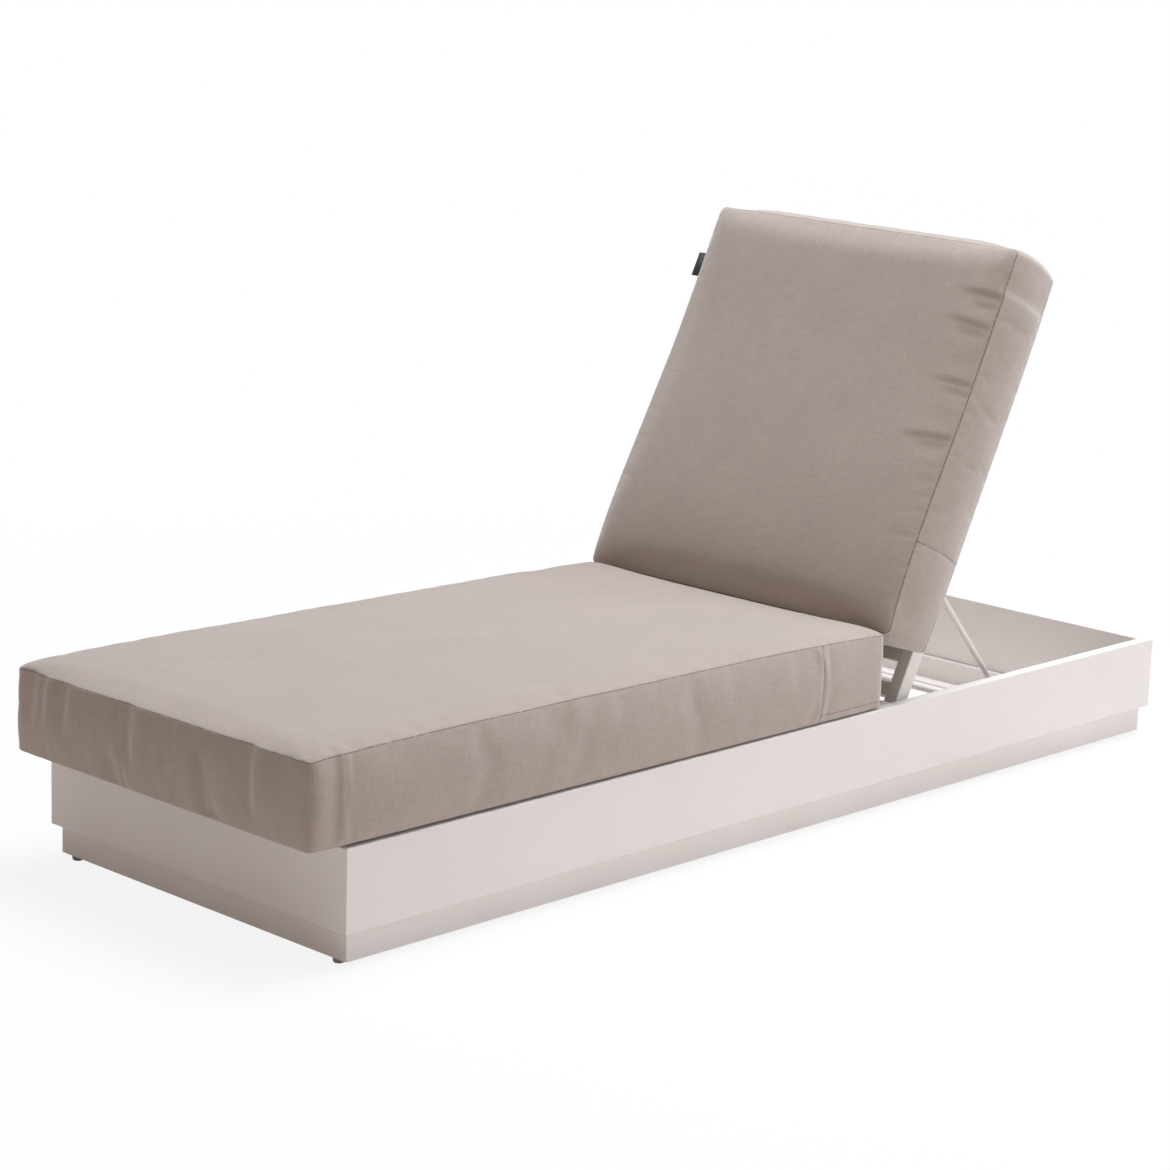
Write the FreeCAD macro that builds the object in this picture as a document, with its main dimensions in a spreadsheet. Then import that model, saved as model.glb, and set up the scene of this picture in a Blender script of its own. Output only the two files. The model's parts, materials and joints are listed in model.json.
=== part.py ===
# Sun lounger: a low box base of hollow aluminium boards, a slatted seat deck, a reclining slatted back
# held up by a wire prop, and two boxed cushions. Millimetres, +Z up, head end towards +X, the sitter's
# left side towards -Y, origin on the floor below the middle of the whole length.
import FreeCAD, Part
import math
import os
import re
import Sketcher

Vector = FreeCAD.Vector
doc = FreeCAD.newDocument("sun_lounger")
sheet = doc.addObject("Spreadsheet::Sheet", "sizes")

driving_sizes = {
    # box base
    "base_length": 2000,
    "base_width": 700,
    "panel_height": 130,
    "panel_wall": 20,
    "profile_skin": 2,
    "edge_radius": 2.5,
    "plinth_height": 46,
    "plinth_wall": 20,
    "plinth_setback": 12,
    "lip_width": 30,
    "lip_thickness": 4,
    # glides
    "glide_height": 8,
    "glide_diameter": 18,
    "glide_sole_diameter": 15,
    "glide_sole_height": 2,
    "glide_stem_diameter": 9,
    "glide_stem_length": 14,
    "glide_from_corner": 27,
    # seat deck
    "seat_slat_width": 90,
    "end_slat_width": 40,
    "slat_thickness": 15,
    "slat_skin": 1.5,
    "slat_end_gap": 1.5,
    "deck_end_gap": 35,
    "ledger_leg": 25,
    "ledger_thickness": 3,
    # hinge
    "hinge_from_head": 717,
    "hinge_depth": 15,
    "bracket_length": 70,
    "bracket_height": 42,
    "bracket_thickness": 5,
    "bracket_corner": 10,
    "bracket_below_top": 3,
    "hinge_bolt_diameter": 10,
    "hinge_head_across": 15,
    "hinge_head_height": 6,
    "hinge_washer_diameter": 20,
    "bush_wall": 2,
    # back frame, measured along the back from the hinge axis
    "back_angle": 63.5,
    "rail_width": 25,
    "rail_depth": 30,
    "rail_side_gap": 6.5,
    "rail_head_gap": 7,
    "rail_cap_thickness": 3,
    "nose_length": 16,
    "tongue_length": 30,
    "cross_bar_width": 25,
    "bottom_bar_start": 11,
    "back_slat_width": 80,
    "back_slat_thickness": 10,
    # prop
    "prop_pivot_along": 235,
    "prop_pivot_behind": 5,
    "prop_length": 377,
    "prop_angle": 48.5,
    "prop_rod_diameter": 10,
    "prop_bar_diameter": 12,
    "prop_eye_diameter": 20,
    "prop_eye_width": 12,
    "prop_bolt_diameter": 8,
    "prop_head_across": 13,
    "prop_head_height": 5,
    "prop_side_gap": 3.5,
    # notched rails
    "notch_rail_thickness": 10,
    "notch_rail_height": 34,
    "notch_pitch": 40,
    "notch_tooth": 3,
    "notch_landing": 14,
    "notch_stop_height": 12,
    "notch_stop_width": 8,
    # cushions
    "foot_overhang": 70,
    "seat_cushion_gap": 78,
    "seat_cushion_edge": 133,
    "back_cushion_start": 90,
    "back_cushion_length": 714,
    "back_cushion_edge": 126,
    "cushion_crown": 6,
    "cushion_draw": 4,
    "cushion_corner": 13,
    "cushion_end_round": 14,
    "cushion_meeting_round": 34,
    "grip_strip_width": 25,
    "grip_strip_length": 480,
    "grip_strip_thickness": 1.5,
    "tab_length": 45,
    "tab_width": 12,
    "tab_thickness": 2,
    "tab_below_top": 94,
    # fasteners and clearances
    "screw_diameter": 4,
    "screw_head_diameter": 8,
    "screw_head_height": 1.2,
    "screw_inset": 12,
    "running_clearance": 0.05,
    "hole_clearance": 0.1,
    "soft_clearance": 0.3,
}
seat_slat_count = 7
back_slat_count = 5
notch_count = 5
panel_web_count = 2
glide_sides = 20

for row, (alias, number) in enumerate(driving_sizes.items(), 1):
    sheet.set(f"A{row}", alias)
    sheet.set(f"B{row}", str(number))
    sheet.setAlias(f"B{row}", alias)
doc.recompute()

pieces = {}
screw_bore = "screw_diameter + 2 * hole_clearance"


def bound(formula):
    return re.sub(r"\b[a-z][a-z_]*\b(?!\()", lambda word: "sizes." + word.group(), formula)


def size(formula):
    return float(sheet.evalExpression(bound(formula)))


def tie(owner, path, formula):
    owner.setExpression(path, bound(formula))


# drawing helpers: every corner and radius of a sketch is tied to the sheet

def new_body(label):
    body = doc.addObject("PartDesign::Body", label)
    body.Label = label
    pieces[label] = body
    return body


def new_sketch(body, role, offset=None):
    sketch = body.newObject("Sketcher::SketchObject", body.Label + "_sketch")
    plane = next(face for face in body.Origin.OriginFeatures if face.Role == role)
    sketch.AttachmentSupport = (plane, "")
    sketch.MapMode = "FlatFace"
    if offset:
        tie(sketch, "AttachmentOffset.Base.z", offset)
    return sketch


def measure(sketch, kind, places, formula):
    index = sketch.addConstraint(Sketcher.Constraint(kind, *places, size(formula)))
    tie(sketch, f"Constraints[{index}]", formula)


def polygon(sketch, corners):
    points = [Vector(size(x), size(y), 0) for x, y in corners]
    first = sketch.GeometryCount
    count = len(points)
    for i in range(count):
        sketch.addGeometry(Part.LineSegment(points[i], points[(i + 1) % count]))
    for i, (x, y) in enumerate(corners):
        sketch.addConstraint(Sketcher.Constraint("Coincident", first + i, 2, first + (i + 1) % count, 1))
        measure(sketch, "DistanceX", (-1, 1, first + i, 1), x)
        measure(sketch, "DistanceY", (-1, 1, first + i, 1), y)


def rectangle(sketch, left, bottom, width, height):
    right = f"{left} + {width}"
    top = f"{bottom} + {height}"
    polygon(sketch, [(left, bottom), (right, bottom), (right, top), (left, top)])


def circle(sketch, x, y, diameter):
    middle = Vector(size(x), size(y), 0)
    index = sketch.addGeometry(Part.Circle(middle, Vector(0, 0, 1), size(diameter) / 2))
    measure(sketch, "DistanceX", (-1, 1, index, 3), x)
    measure(sketch, "DistanceY", (-1, 1, index, 3), y)
    measure(sketch, "Diameter", (index,), diameter)


def prism(sketch, x, y, across, count):
    # a regular outline with the given distance across its flats
    corner = 0.5 / math.cos(math.pi / count)
    turns = [2 * math.pi * (k + 0.5) / count for k in range(count)]
    polygon(sketch, [
        (f"{x} + {corner * math.cos(turn):.9f} * ({across})",
         f"{y} + {corner * math.sin(turn):.9f} * ({across})")
        for turn in turns
    ])


def pad(body, sketch, length, side="Symmetric"):
    feature = body.newObject("PartDesign::Pad", body.Label + "_pad")
    feature.Profile = sketch
    feature.SideType = side
    tie(feature, "Length", length)
    doc.recompute()
    return feature


def pocket(body, sketch):
    before = body.Shape.Volume
    feature = body.newObject("PartDesign::Pocket", body.Label + "_pocket")
    feature.Profile = sketch
    feature.Type = "ThroughAll"
    feature.SideType = "Symmetric"
    doc.recompute()
    if not body.Shape.Volume < before:
        raise ValueError(f"{body.Label}: the pocket cuts nothing")
    return feature


def round_edges(body, radius, wanted):
    base = body.Tip
    names = [f"Edge{i}" for i, edge in enumerate(base.Shape.Edges, 1) if wanted(edge)]
    feature = body.newObject("PartDesign::Fillet", body.Label + "_fillet")
    feature.Base = (base, names)
    tie(feature, "Radius", radius)
    doc.recompute()
    return feature


def turned(label, outline, listed=True):
    # a piece turned about its own Z axis, from half outlines of (radius, height)
    body = new_body(label)
    sketch = new_sketch(body, "XZ_Plane")
    polygon(sketch, outline)
    feature = body.newObject("PartDesign::Revolution", label + "_turn")
    feature.Profile = sketch
    axis = next(line for line in body.Origin.OriginFeatures if line.Role == "Z_Axis")
    feature.ReferenceAxis = (axis, [""])
    feature.Angle = 360
    doc.recompute()
    if not listed:
        del pieces[label]
    return body


def bolt(label, diameter, start, length, head_across, head_height):
    # a plain shank along its own Z axis from start, under a hexagon head
    body = new_body(label)
    shank = new_sketch(body, "XY_Plane", start)
    circle(shank, "0", "0", diameter)
    pad(body, shank, f"{length} - {start}", "One side")
    head = new_sketch(body, "XY_Plane", length)
    prism(head, "0", "0", head_across, 6)
    pad(body, head, head_height, "One side")
    return body


def screw(label, length):
    # a small screw with its head's underside at 0; it and its bores have eight flats
    body = new_body(label)
    shank = new_sketch(body, "XY_Plane", f"-({length})")
    prism(shank, "0", "0", "screw_diameter", 8)
    pad(body, shank, length, "One side")
    head = new_sketch(body, "XY_Plane")
    prism(head, "0", "0", "screw_head_diameter", 8)
    pad(body, head, "screw_head_height", "One side")
    del pieces[label]
    return body


def ring(bore, outside, low, high):
    # half outline of a plain ring or disc
    return [(bore, low), (outside, low), (outside, high), (bore, high)]


def hollow_bar(label, length, depth, height, skin, webs=0, rounded=True):
    # length along X about the middle, depth along +Y from 0, height along +Z from 0
    body = new_body(label)
    profile = new_sketch(body, "YZ_Plane")
    rectangle(profile, "0", "0", depth, height)
    cell = f"({height} - {webs + 2} * {skin}) / {webs + 1}"
    for k in range(webs + 1):
        rectangle(profile, skin, f"{skin} + {k} * ({cell} + {skin})", f"{depth} - 2 * {skin}", cell)
    pad(body, profile, length)
    if not rounded:
        return body
    sides = (0.0, size(depth))
    levels = (0.0, size(height))

    def outer(edge):
        ends = [vertex.Point for vertex in edge.Vertexes]
        lengthwise = abs(ends[0].x - ends[-1].x) > size(length) / 2
        on_side = min(abs(ends[0].y - side) for side in sides) < 1e-6
        return lengthwise and on_side and min(abs(ends[0].z - level) for level in levels) < 1e-6

    round_edges(body, f"min(edge_radius; 0.2 * {height})", outer)
    return body


def mitre(body, length, depth):
    # both ends cut at 45 degrees, the outer face keeping the full length
    sketch = new_sketch(body, "XY_Plane")
    half = f"{length} / 2"
    for side in ("", "-"):
        tip = f"{side}({half} + panel_wall)"
        inner = f"{side}({half} - {depth} - panel_wall)"
        beyond = f"{depth} + panel_wall"
        polygon(sketch, [(tip, "-panel_wall"), (tip, beyond), (inner, beyond)])
    pocket(body, sketch)


def drill(body, role, holes, diameter):
    sketch = new_sketch(body, role)
    for x, y in holes:
        circle(sketch, x, y, diameter)
    pocket(body, sketch)


def screw_bores(body, role, holes):
    sketch = new_sketch(body, role)
    for x, y in holes:
        prism(sketch, x, y, screw_bore, 8)
    pocket(body, sketch)


def placed(x, y, z, axis=Vector(0, 0, 1), angle=0.0):
    return FreeCAD.Placement(Vector(x, y, z), FreeCAD.Rotation(axis, angle))


def group(label, shapes):
    feature = doc.addObject("Part::Feature", label)
    feature.Label = label
    feature.Shape = Part.makeCompound(shapes)
    pieces[label] = feature
    return feature


def copies(master, placements):
    shapes = []
    for placement in placements:
        shape = master.Shape.copy()
        shape.Placement = placement
        shapes.append(shape)
    return shapes


# levels and places shared by many pieces

base_middle = size("foot_overhang / 2")
foot_face = base_middle - size("base_length / 2")
head_face = base_middle + size("base_length / 2")
half_width = size("base_width / 2")
plinth_bottom = size("glide_height")
panel_bottom = plinth_bottom + size("plinth_height")
panel_top = panel_bottom + size("panel_height")
inner_side = half_width - size("panel_wall")
hinge_x = head_face - size("hinge_from_head")
hinge_z = panel_top - size("hinge_depth")
deck_end = hinge_x - size("deck_end_gap")
slat_bottom = panel_top - size("slat_thickness")
rail_outer = inner_side - size("rail_side_gap")
rail_inner = rail_outer - size("rail_width")
sides = {"left": -1, "right": 1}
y_axis = Vector(0, 1, 0)
x_axis = Vector(1, 0, 0)
back_frame = placed(hinge_x, 0, hinge_z, y_axis, -size("back_angle"))


# box base: four mitred apron panels over four mitred plinth rails

def box_places(outer_inset, level):
    near = half_width - outer_inset
    return {
        "left": placed(base_middle, -near, level),
        "right": placed(base_middle, near, level, angle=180),
        "foot": placed(foot_face + outer_inset, 0, level, angle=-90),
        "head": placed(head_face - outer_inset, 0, level, angle=90),
    }


panel_names = {
    "left": "side_panel_left", "right": "side_panel_right", "foot": "foot_panel", "head": "head_panel",
}
for place, spot in box_places(0, panel_bottom).items():
    span = "base_length" if place in sides else "base_width"
    panel = hollow_bar(panel_names[place], span, "panel_wall", "panel_height", "profile_skin",
                       panel_web_count)
    mitre(panel, span, "panel_wall")
    panel.Placement = spot

for place, spot in box_places(size("plinth_setback"), plinth_bottom).items():
    span = ("base_length" if place in sides else "base_width") + " - 2 * plinth_setback"
    rail = new_body(f"plinth_{place}")
    profile = new_sketch(rail, "YZ_Plane")
    lip_edge = "(plinth_wall + lip_width)"
    polygon(profile, [
        ("0", "0"),
        (lip_edge, "0"),
        (lip_edge, "lip_thickness"),
        ("plinth_wall", "lip_thickness"),
        ("plinth_wall", "plinth_height"),
        ("0", "plinth_height"),
    ])
    rectangle(profile, "profile_skin", "lip_thickness", "plinth_wall - 2 * profile_skin",
              "plinth_height - lip_thickness - profile_skin")
    pad(rail, profile, span)
    mitre(rail, f"({span})", lip_edge)
    if place not in sides:
        spread = f"({span}) / 2 - glide_from_corner"
        sketch = new_sketch(rail, "XY_Plane")
        for sign in ("", "-"):
            prism(sketch, f"{sign}({spread})", "plinth_wall / 2",
                  "glide_stem_diameter + 2 * hole_clearance", 8)
        cut = pocket(rail, sketch)
        cut.Type = "Length"
        tie(cut, "Length", "4 * lip_thickness")
        doc.recompute()
    rail.Placement = spot

# glides: a disc over a narrower sole, with an eight-sided stem pressed up into the plinth
for end, face, inward in (("foot", foot_face, 1), ("head", head_face, -1)):
    for side, sign in sides.items():
        x = face + inward * size("plinth_setback + plinth_wall / 2")
        y = sign * (half_width - size("plinth_setback + glide_from_corner"))
        glide = new_body(f"glide_{end}_{side}")
        layers = [
            ("0", "glide_sole_diameter", "glide_sole_height", glide_sides),
            ("glide_sole_height", "glide_diameter", "glide_height - glide_sole_height", glide_sides),
            ("glide_height", "glide_stem_diameter", "glide_stem_length", 8),
        ]
        for level, across, rise, count in layers:
            layer = new_sketch(glide, "XY_Plane", level)
            prism(layer, "0", "0", across, count)
            pad(glide, layer, rise, "One side")
        glide.Placement = placed(x, y, 0)


# seat deck: angle ledgers along the side panels, slats across them, screws at the slat ends

slat_length = "(base_width - 2 * panel_wall - 2 * slat_end_gap)"
slat_hole = f"{slat_length} / 2 - screw_inset"
seat_start = foot_face + size("panel_wall")
slat_room = deck_end - size("end_slat_width") - seat_start
slat_gap = (slat_room - seat_slat_count * size("seat_slat_width")) / (seat_slat_count + 1)
slat_middles = []


def slat(label, width, middle_x):
    bar = hollow_bar(label, slat_length, width, "slat_thickness", "slat_skin", rounded=False)
    screw_bores(bar, "XY_Plane", [(slat_hole, f"{width} / 2"), (f"-({slat_hole})", f"{width} / 2")])
    bar.Placement = placed(middle_x + size(width) / 2, 0, slat_bottom, angle=90)
    slat_middles.append(middle_x)


for k in range(seat_slat_count):
    step = slat_gap + size("seat_slat_width")
    slat(f"seat_slat_{k + 1}", "seat_slat_width", seat_start + step * (k + 1) - size("seat_slat_width") / 2)
slat("deck_end_slat", "end_slat_width", deck_end - size("end_slat_width") / 2)

ledger_length = deck_end - seat_start
hole_y = inner_side - size("slat_end_gap + screw_inset")
for side, sign in sides.items():
    ledger = new_body(f"deck_ledger_{side}")
    profile = new_sketch(ledger, "YZ_Plane")
    polygon(profile, [
        ("0", "0"),
        ("ledger_leg", "0"),
        ("ledger_leg", "-ledger_thickness"),
        ("ledger_thickness", "-ledger_thickness"),
        ("ledger_thickness", "-ledger_leg"),
        ("0", "-ledger_leg"),
    ])
    run = pad(ledger, profile, "base_length", "One side")
    run.setExpression("Length", None)
    run.Length = ledger_length
    places = [middle - seat_start if sign < 0 else deck_end - middle for middle in slat_middles]
    screw_bores(ledger, "XY_Plane", [(f"{place}", "slat_end_gap + screw_inset") for place in places])
    start = seat_start if sign < 0 else deck_end
    ledger.Placement = placed(start, sign * inner_side, slat_bottom, angle=0 if sign < 0 else 180)

deck_screw = screw("deck_screw", "slat_thickness + 2 * ledger_thickness")
spots = [placed(x, sign * hole_y, panel_top) for x in slat_middles for sign in sides.values()]
group("slat_screws", copies(deck_screw, spots))


# hinge: a bracket plate on each side panel, its bolt, and a washer beside the rail

bracket_top = panel_top - size("bracket_below_top")
bracket_middle = bracket_top - size("bracket_height / 2")
bracket_inner = inner_side - size("bracket_thickness")
bracket_screw_x = "bracket_length / 2 - bracket_corner"
side_screw = screw("side_screw", "2 * bracket_thickness")
bracket_spots = []
for side, sign in sides.items():
    bracket = new_body(f"hinge_bracket_{side}")
    outline = new_sketch(bracket, "XZ_Plane")
    rectangle(outline, "-bracket_length / 2", "-bracket_height / 2", "bracket_length", "bracket_height")
    pad(bracket, outline, "bracket_thickness")
    round_edges(bracket, "bracket_corner", lambda edge: abs(edge.tangentAt(edge.FirstParameter).y) > 0.99)
    drill(bracket, "XZ_Plane", [("0", "bracket_below_top + bracket_height / 2 - hinge_depth")],
          "hinge_bolt_diameter + 2 * running_clearance")
    bracket_screw_xs = (bracket_screw_x, f"-({bracket_screw_x})")
    screw_bores(bracket, "XZ_Plane", [(x, "0") for x in bracket_screw_xs])
    for x in bracket_screw_xs:
        bracket_spots.append(
            placed(hinge_x + size(x), sign * bracket_inner, bracket_middle, x_axis, 90 * sign))
    bracket.Placement = placed(hinge_x, sign * (inner_side - size("bracket_thickness / 2")), bracket_middle)

    hinge_bolt = bolt(f"hinge_bolt_{side}", "hinge_bolt_diameter", "soft_clearance",
                      "rail_side_gap + rail_width + soft_clearance",
                      "hinge_head_across", "hinge_head_height")
    hinge_bolt.Placement = placed(hinge_x, sign * inner_side, hinge_z, x_axis, 90 * sign)

washer_outline = ring("hinge_bolt_diameter / 2 + hole_clearance", "hinge_washer_diameter / 2",
                      "bracket_thickness", "rail_side_gap - soft_clearance")
washer = turned("hinge_washer", washer_outline, listed=False)
spots = [placed(hinge_x, sign * inner_side, hinge_z, x_axis, 90 * sign) for sign in sides.values()]
group("hinge_washers", copies(washer, spots))


# back frame, modelled lying flat with the hinge axis at its origin, then raised to its angle

rail_end = size("hinge_from_head - panel_wall - rail_head_gap")
front_plane = size("hinge_depth")
rail_low = front_plane - size("rail_depth")
rail_length = "hinge_from_head - panel_wall - rail_head_gap - nose_length"
tongue_fit = "(profile_skin + hole_clearance)"


def on_back(x, y, z, axis=Vector(0, 0, 1), angle=0.0):
    return back_frame.multiply(placed(x, y, z, axis, angle))


for side, sign in sides.items():
    low_y = min(sign * rail_inner, sign * rail_outer)
    rail = hollow_bar(f"back_rail_{side}", rail_length, "rail_width", "rail_depth", "profile_skin")
    from_middle = f"prop_pivot_along - nose_length - ({rail_length}) / 2"
    drill(rail, "XZ_Plane", [(from_middle, "rail_depth - hinge_depth - prop_pivot_behind")],
          "prop_bolt_diameter + 2 * hole_clearance")
    rail.Placement = on_back(size(f"nose_length + ({rail_length}) / 2"), low_y, rail_low)

    nose = new_body(f"rail_nose_{side}")
    block = new_sketch(nose, "XZ_Plane")
    rectangle(block, "-rail_depth / 2", "hinge_depth - rail_depth",
              "rail_depth / 2 + nose_length", "rail_depth")
    pad(nose, block, "rail_width")
    tip = -size("rail_depth / 2")
    round_edges(nose, "0.49 * rail_depth",
                lambda edge: abs(edge.tangentAt(edge.FirstParameter).y) > 0.99
                and abs(edge.Vertexes[0].X - tip) < 1e-6)
    tongue = new_sketch(nose, "XZ_Plane")
    rectangle(tongue, "nose_length - edge_radius", f"hinge_depth - rail_depth + {tongue_fit}",
              "tongue_length + edge_radius", f"rail_depth - 2 * {tongue_fit}")
    pad(nose, tongue, f"rail_width - 2 * {tongue_fit}")
    drill(nose, "XZ_Plane", [("0", "0")],
          "hinge_bolt_diameter + 2 * running_clearance + 2 * bush_wall + 2 * hole_clearance")
    nose.Placement = on_back(0, sign * (rail_inner + rail_outer) / 2, 0)

    bush_bore = "hinge_bolt_diameter / 2 + running_clearance"
    bush = turned(f"hinge_bush_{side}", ring(bush_bore, f"{bush_bore} + bush_wall", "0", "rail_width"))
    bush.Placement = on_back(0, sign * rail_outer, 0, x_axis, 90 * sign)

    cap = new_body(f"rail_cap_{side}")
    plate = new_sketch(cap, "YZ_Plane")
    rectangle(plate, "-rail_width / 2", "hinge_depth - rail_depth", "rail_width", "rail_depth")
    pad(cap, plate, "rail_cap_thickness", "One side")
    round_edges(cap, "edge_radius", lambda edge: abs(edge.tangentAt(edge.FirstParameter).x) > 0.99)
    plug = new_sketch(cap, "YZ_Plane", "-tongue_length / 2")
    rectangle(plug, f"-rail_width / 2 + {tongue_fit}", f"hinge_depth - rail_depth + {tongue_fit}",
              f"rail_width - 2 * {tongue_fit}", f"rail_depth - 2 * {tongue_fit}")
    pad(cap, plug, "tongue_length / 2", "One side")
    cap.Placement = on_back(rail_end, sign * (rail_inner + rail_outer) / 2, 0)

rail_spread = "(base_width - 2 * panel_wall - 2 * rail_side_gap - 2 * rail_width)"
top_bar_start = rail_end - size("cross_bar_width")
bar_starts = {"back_bottom_bar": size("bottom_bar_start"), "back_top_bar": top_bar_start}
for label, start in bar_starts.items():
    bar = hollow_bar(label, rail_spread, "cross_bar_width", "rail_depth", "profile_skin")
    bar.Placement = on_back(start + size("cross_bar_width"), 0, rail_low, angle=90)

bars_end = bar_starts["back_bottom_bar"] + size("cross_bar_width")
back_gap = (top_bar_start - bars_end - back_slat_count * size("back_slat_width")) / (back_slat_count + 1)
back_slat_ends = []
for k in range(back_slat_count):
    end = bars_end + (k + 1) * (back_gap + size("back_slat_width"))
    bar = hollow_bar(f"back_slat_{k + 1}", rail_spread, "back_slat_width", "back_slat_thickness",
                     "slat_skin")
    bar.Placement = on_back(end, 0, front_plane - size("back_slat_thickness"), angle=90)
    back_slat_ends.append(end)


# prop: two legs with eyes on the back rails, and a foot bar that lies on the notched rails

pivot_flat = Vector(size("prop_pivot_along"), 0, -size("prop_pivot_behind"))
pivot = back_frame.multVec(pivot_flat)
prop_turn = size("prop_angle")
prop_frame = placed(pivot.x, 0, pivot.z, y_axis, prop_turn)
leg_outer = rail_inner - size("prop_side_gap")
leg_middle = leg_outer - size("prop_eye_width / 2")
foot_bar_end = inner_side - size("slat_end_gap")

for side, sign in sides.items():
    rod = doc.addObject("Part::Cylinder", f"prop_rod_{side}")
    tie(rod, "Radius", "prop_rod_diameter / 2")
    tie(rod, "Height", "prop_length - prop_bar_diameter / 2 - hole_clearance")
    rod.Placement = placed(0, sign * leg_middle, 0, y_axis, 90)
    eye = doc.addObject("Part::Cylinder", f"prop_eye_{side}")
    tie(eye, "Radius", "prop_eye_diameter / 2")
    tie(eye, "Height", "prop_eye_width")
    bore = doc.addObject("Part::Cylinder", f"prop_bore_{side}")
    tie(bore, "Radius", "prop_bolt_diameter / 2 + running_clearance")
    tie(bore, "Height", "2 * prop_eye_width")
    eye.Placement = placed(0, sign * leg_middle + size("prop_eye_width / 2"), 0, x_axis, 90)
    bore.Placement = placed(0, sign * leg_middle + size("prop_eye_width"), 0, x_axis, 90)
    joined = doc.addObject("Part::Fuse", f"prop_blank_{side}")
    joined.Base = rod
    joined.Tool = eye
    leg = doc.addObject("Part::Cut", f"prop_leg_{side}")
    leg.Label = f"prop_leg_{side}"
    leg.Base = joined
    leg.Tool = bore
    leg.Placement = prop_frame
    pieces[leg.Label] = leg

    shank = "rail_width + prop_side_gap + prop_eye_width + soft_clearance"
    prop_bolt = bolt(f"prop_bolt_{side}", "prop_bolt_diameter", "0", shank,
                     "prop_head_across", "prop_head_height")
    prop_bolt.Placement = on_back(pivot_flat.x, sign * rail_outer, pivot_flat.z, x_axis, 90 * sign)

spacer = turned("prop_spacer", ring("prop_bolt_diameter / 2 + hole_clearance", "0.4 * prop_eye_diameter",
                                    "0", "prop_side_gap - soft_clearance"), listed=False)
spots = [
    on_back(pivot_flat.x, sign * rail_inner, pivot_flat.z, x_axis, 90 * sign) for sign in sides.values()
]
group("prop_spacers", copies(spacer, spots))

foot_bar = doc.addObject("Part::Cylinder", "prop_foot_bar")
tie(foot_bar, "Radius", "prop_bar_diameter / 2")
tie(foot_bar, "Height", "base_width - 2 * panel_wall - 2 * slat_end_gap")
bar_centre = prop_frame.multVec(Vector(size("prop_length"), 0, 0))
foot_bar.Placement = placed(bar_centre.x, foot_bar_end, bar_centre.z, x_axis, 90)
pieces["prop_foot_bar"] = foot_bar


# notched rails: a stop behind the foot bar, then a row of low teeth towards the head

bar_radius = "prop_bar_diameter / 2"
land = f"-({bar_radius}) - soft_clearance"
stop_x = f"-({bar_radius}) - soft_clearance"
first_tooth = f"{bar_radius} + notch_landing"
last_end = f"{first_tooth} + {notch_count} * notch_pitch"
notch_outline = [
    (f"{stop_x} - notch_stop_width", f"{land} - notch_rail_height"),
    (last_end, f"{land} - notch_rail_height"),
    (last_end, land),
]
for k in reversed(range(notch_count)):
    face = f"{first_tooth} + {k} * notch_pitch"
    notch_outline.append((f"{face} + 0.6 * notch_pitch", land))
    notch_outline.append((f"{face} + 0.1 * notch_pitch", f"{land} + notch_tooth"))
    notch_outline.append((face, f"{land} + notch_tooth"))
    notch_outline.append((face, land))
notch_outline.append((stop_x, land))
notch_outline.append((stop_x, f"{land} + notch_stop_height"))
notch_outline.append((f"{stop_x} - notch_stop_width", f"{land} + notch_stop_height"))
screw_level = f"{land} - notch_rail_height / 2"
notch_screw_xs = [first_tooth, f"{last_end} - notch_pitch / 2"]
notch_spots = []
notch_inner = inner_side - size("notch_rail_thickness")
for side, sign in sides.items():
    notch_rail = new_body(f"notch_rail_{side}")
    outline = new_sketch(notch_rail, "XZ_Plane")
    polygon(outline, notch_outline)
    pad(notch_rail, outline, "notch_rail_thickness")
    screw_bores(notch_rail, "XZ_Plane", [(x, screw_level) for x in notch_screw_xs])
    rail_y = sign * (inner_side - size("notch_rail_thickness / 2"))
    notch_rail.Placement = placed(bar_centre.x, rail_y, bar_centre.z)
    for x in notch_screw_xs:
        spot = (bar_centre.x + size(x), sign * notch_inner, bar_centre.z + size(screw_level))
        notch_spots.append(placed(*spot, x_axis, 90 * sign))

# each side panel's inner skin is drilled for the bracket and notched rail screws
notch_screw = screw("notch_screw", "notch_rail_thickness + bracket_thickness")
group("bracket_screws", copies(side_screw, bracket_spots))
group("notch_rail_screws", copies(notch_screw, notch_spots))
for side, sign in sides.items():
    panel = pieces[f"side_panel_{side}"]
    bores = new_sketch(panel, "XZ_Plane", "-panel_wall")
    for spot in bracket_spots + notch_spots:
        if spot.Base.y * sign > 0:
            along = -sign * (spot.Base.x - base_middle)
            prism(bores, f"{along}", f"{spot.Base.z - panel_bottom}", screw_bore, 8)
    before = panel.Shape.Volume
    cut = panel.newObject("PartDesign::Pocket", f"{panel.Label}_screw_bores")
    cut.Profile = bores
    cut.Type = "Length"
    tie(cut, "Length", "2 * profile_skin")
    cut.SideType = "Symmetric"
    doc.recompute()
    if not panel.Shape.Volume < before:
        raise ValueError(f"{panel.Label}: the screw bores cut nothing")


# touch-tape strips on the slats, which keep the cushions from sliding

def strip_shape(placement):
    length = size("grip_strip_length")
    strip = Part.makeBox(size("grip_strip_width"), length, size("grip_strip_thickness"),
                         Vector(-size("grip_strip_width / 2"), -length / 2, 0))
    strip.Placement = placement
    return strip


strip_slats = range(1, seat_slat_count, 2)
group("seat_grip_strips", [strip_shape(placed(slat_middles[k], 0, panel_top)) for k in strip_slats])
group("back_grip_strips", [
    strip_shape(on_back(back_slat_ends[k] - size("back_slat_width / 2"), 0, front_plane))
    for k in range(1, back_slat_count, 2)
])


# cushions: boxed pads with a crowned top, sides drawn in between the corners and rounded ends

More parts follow.
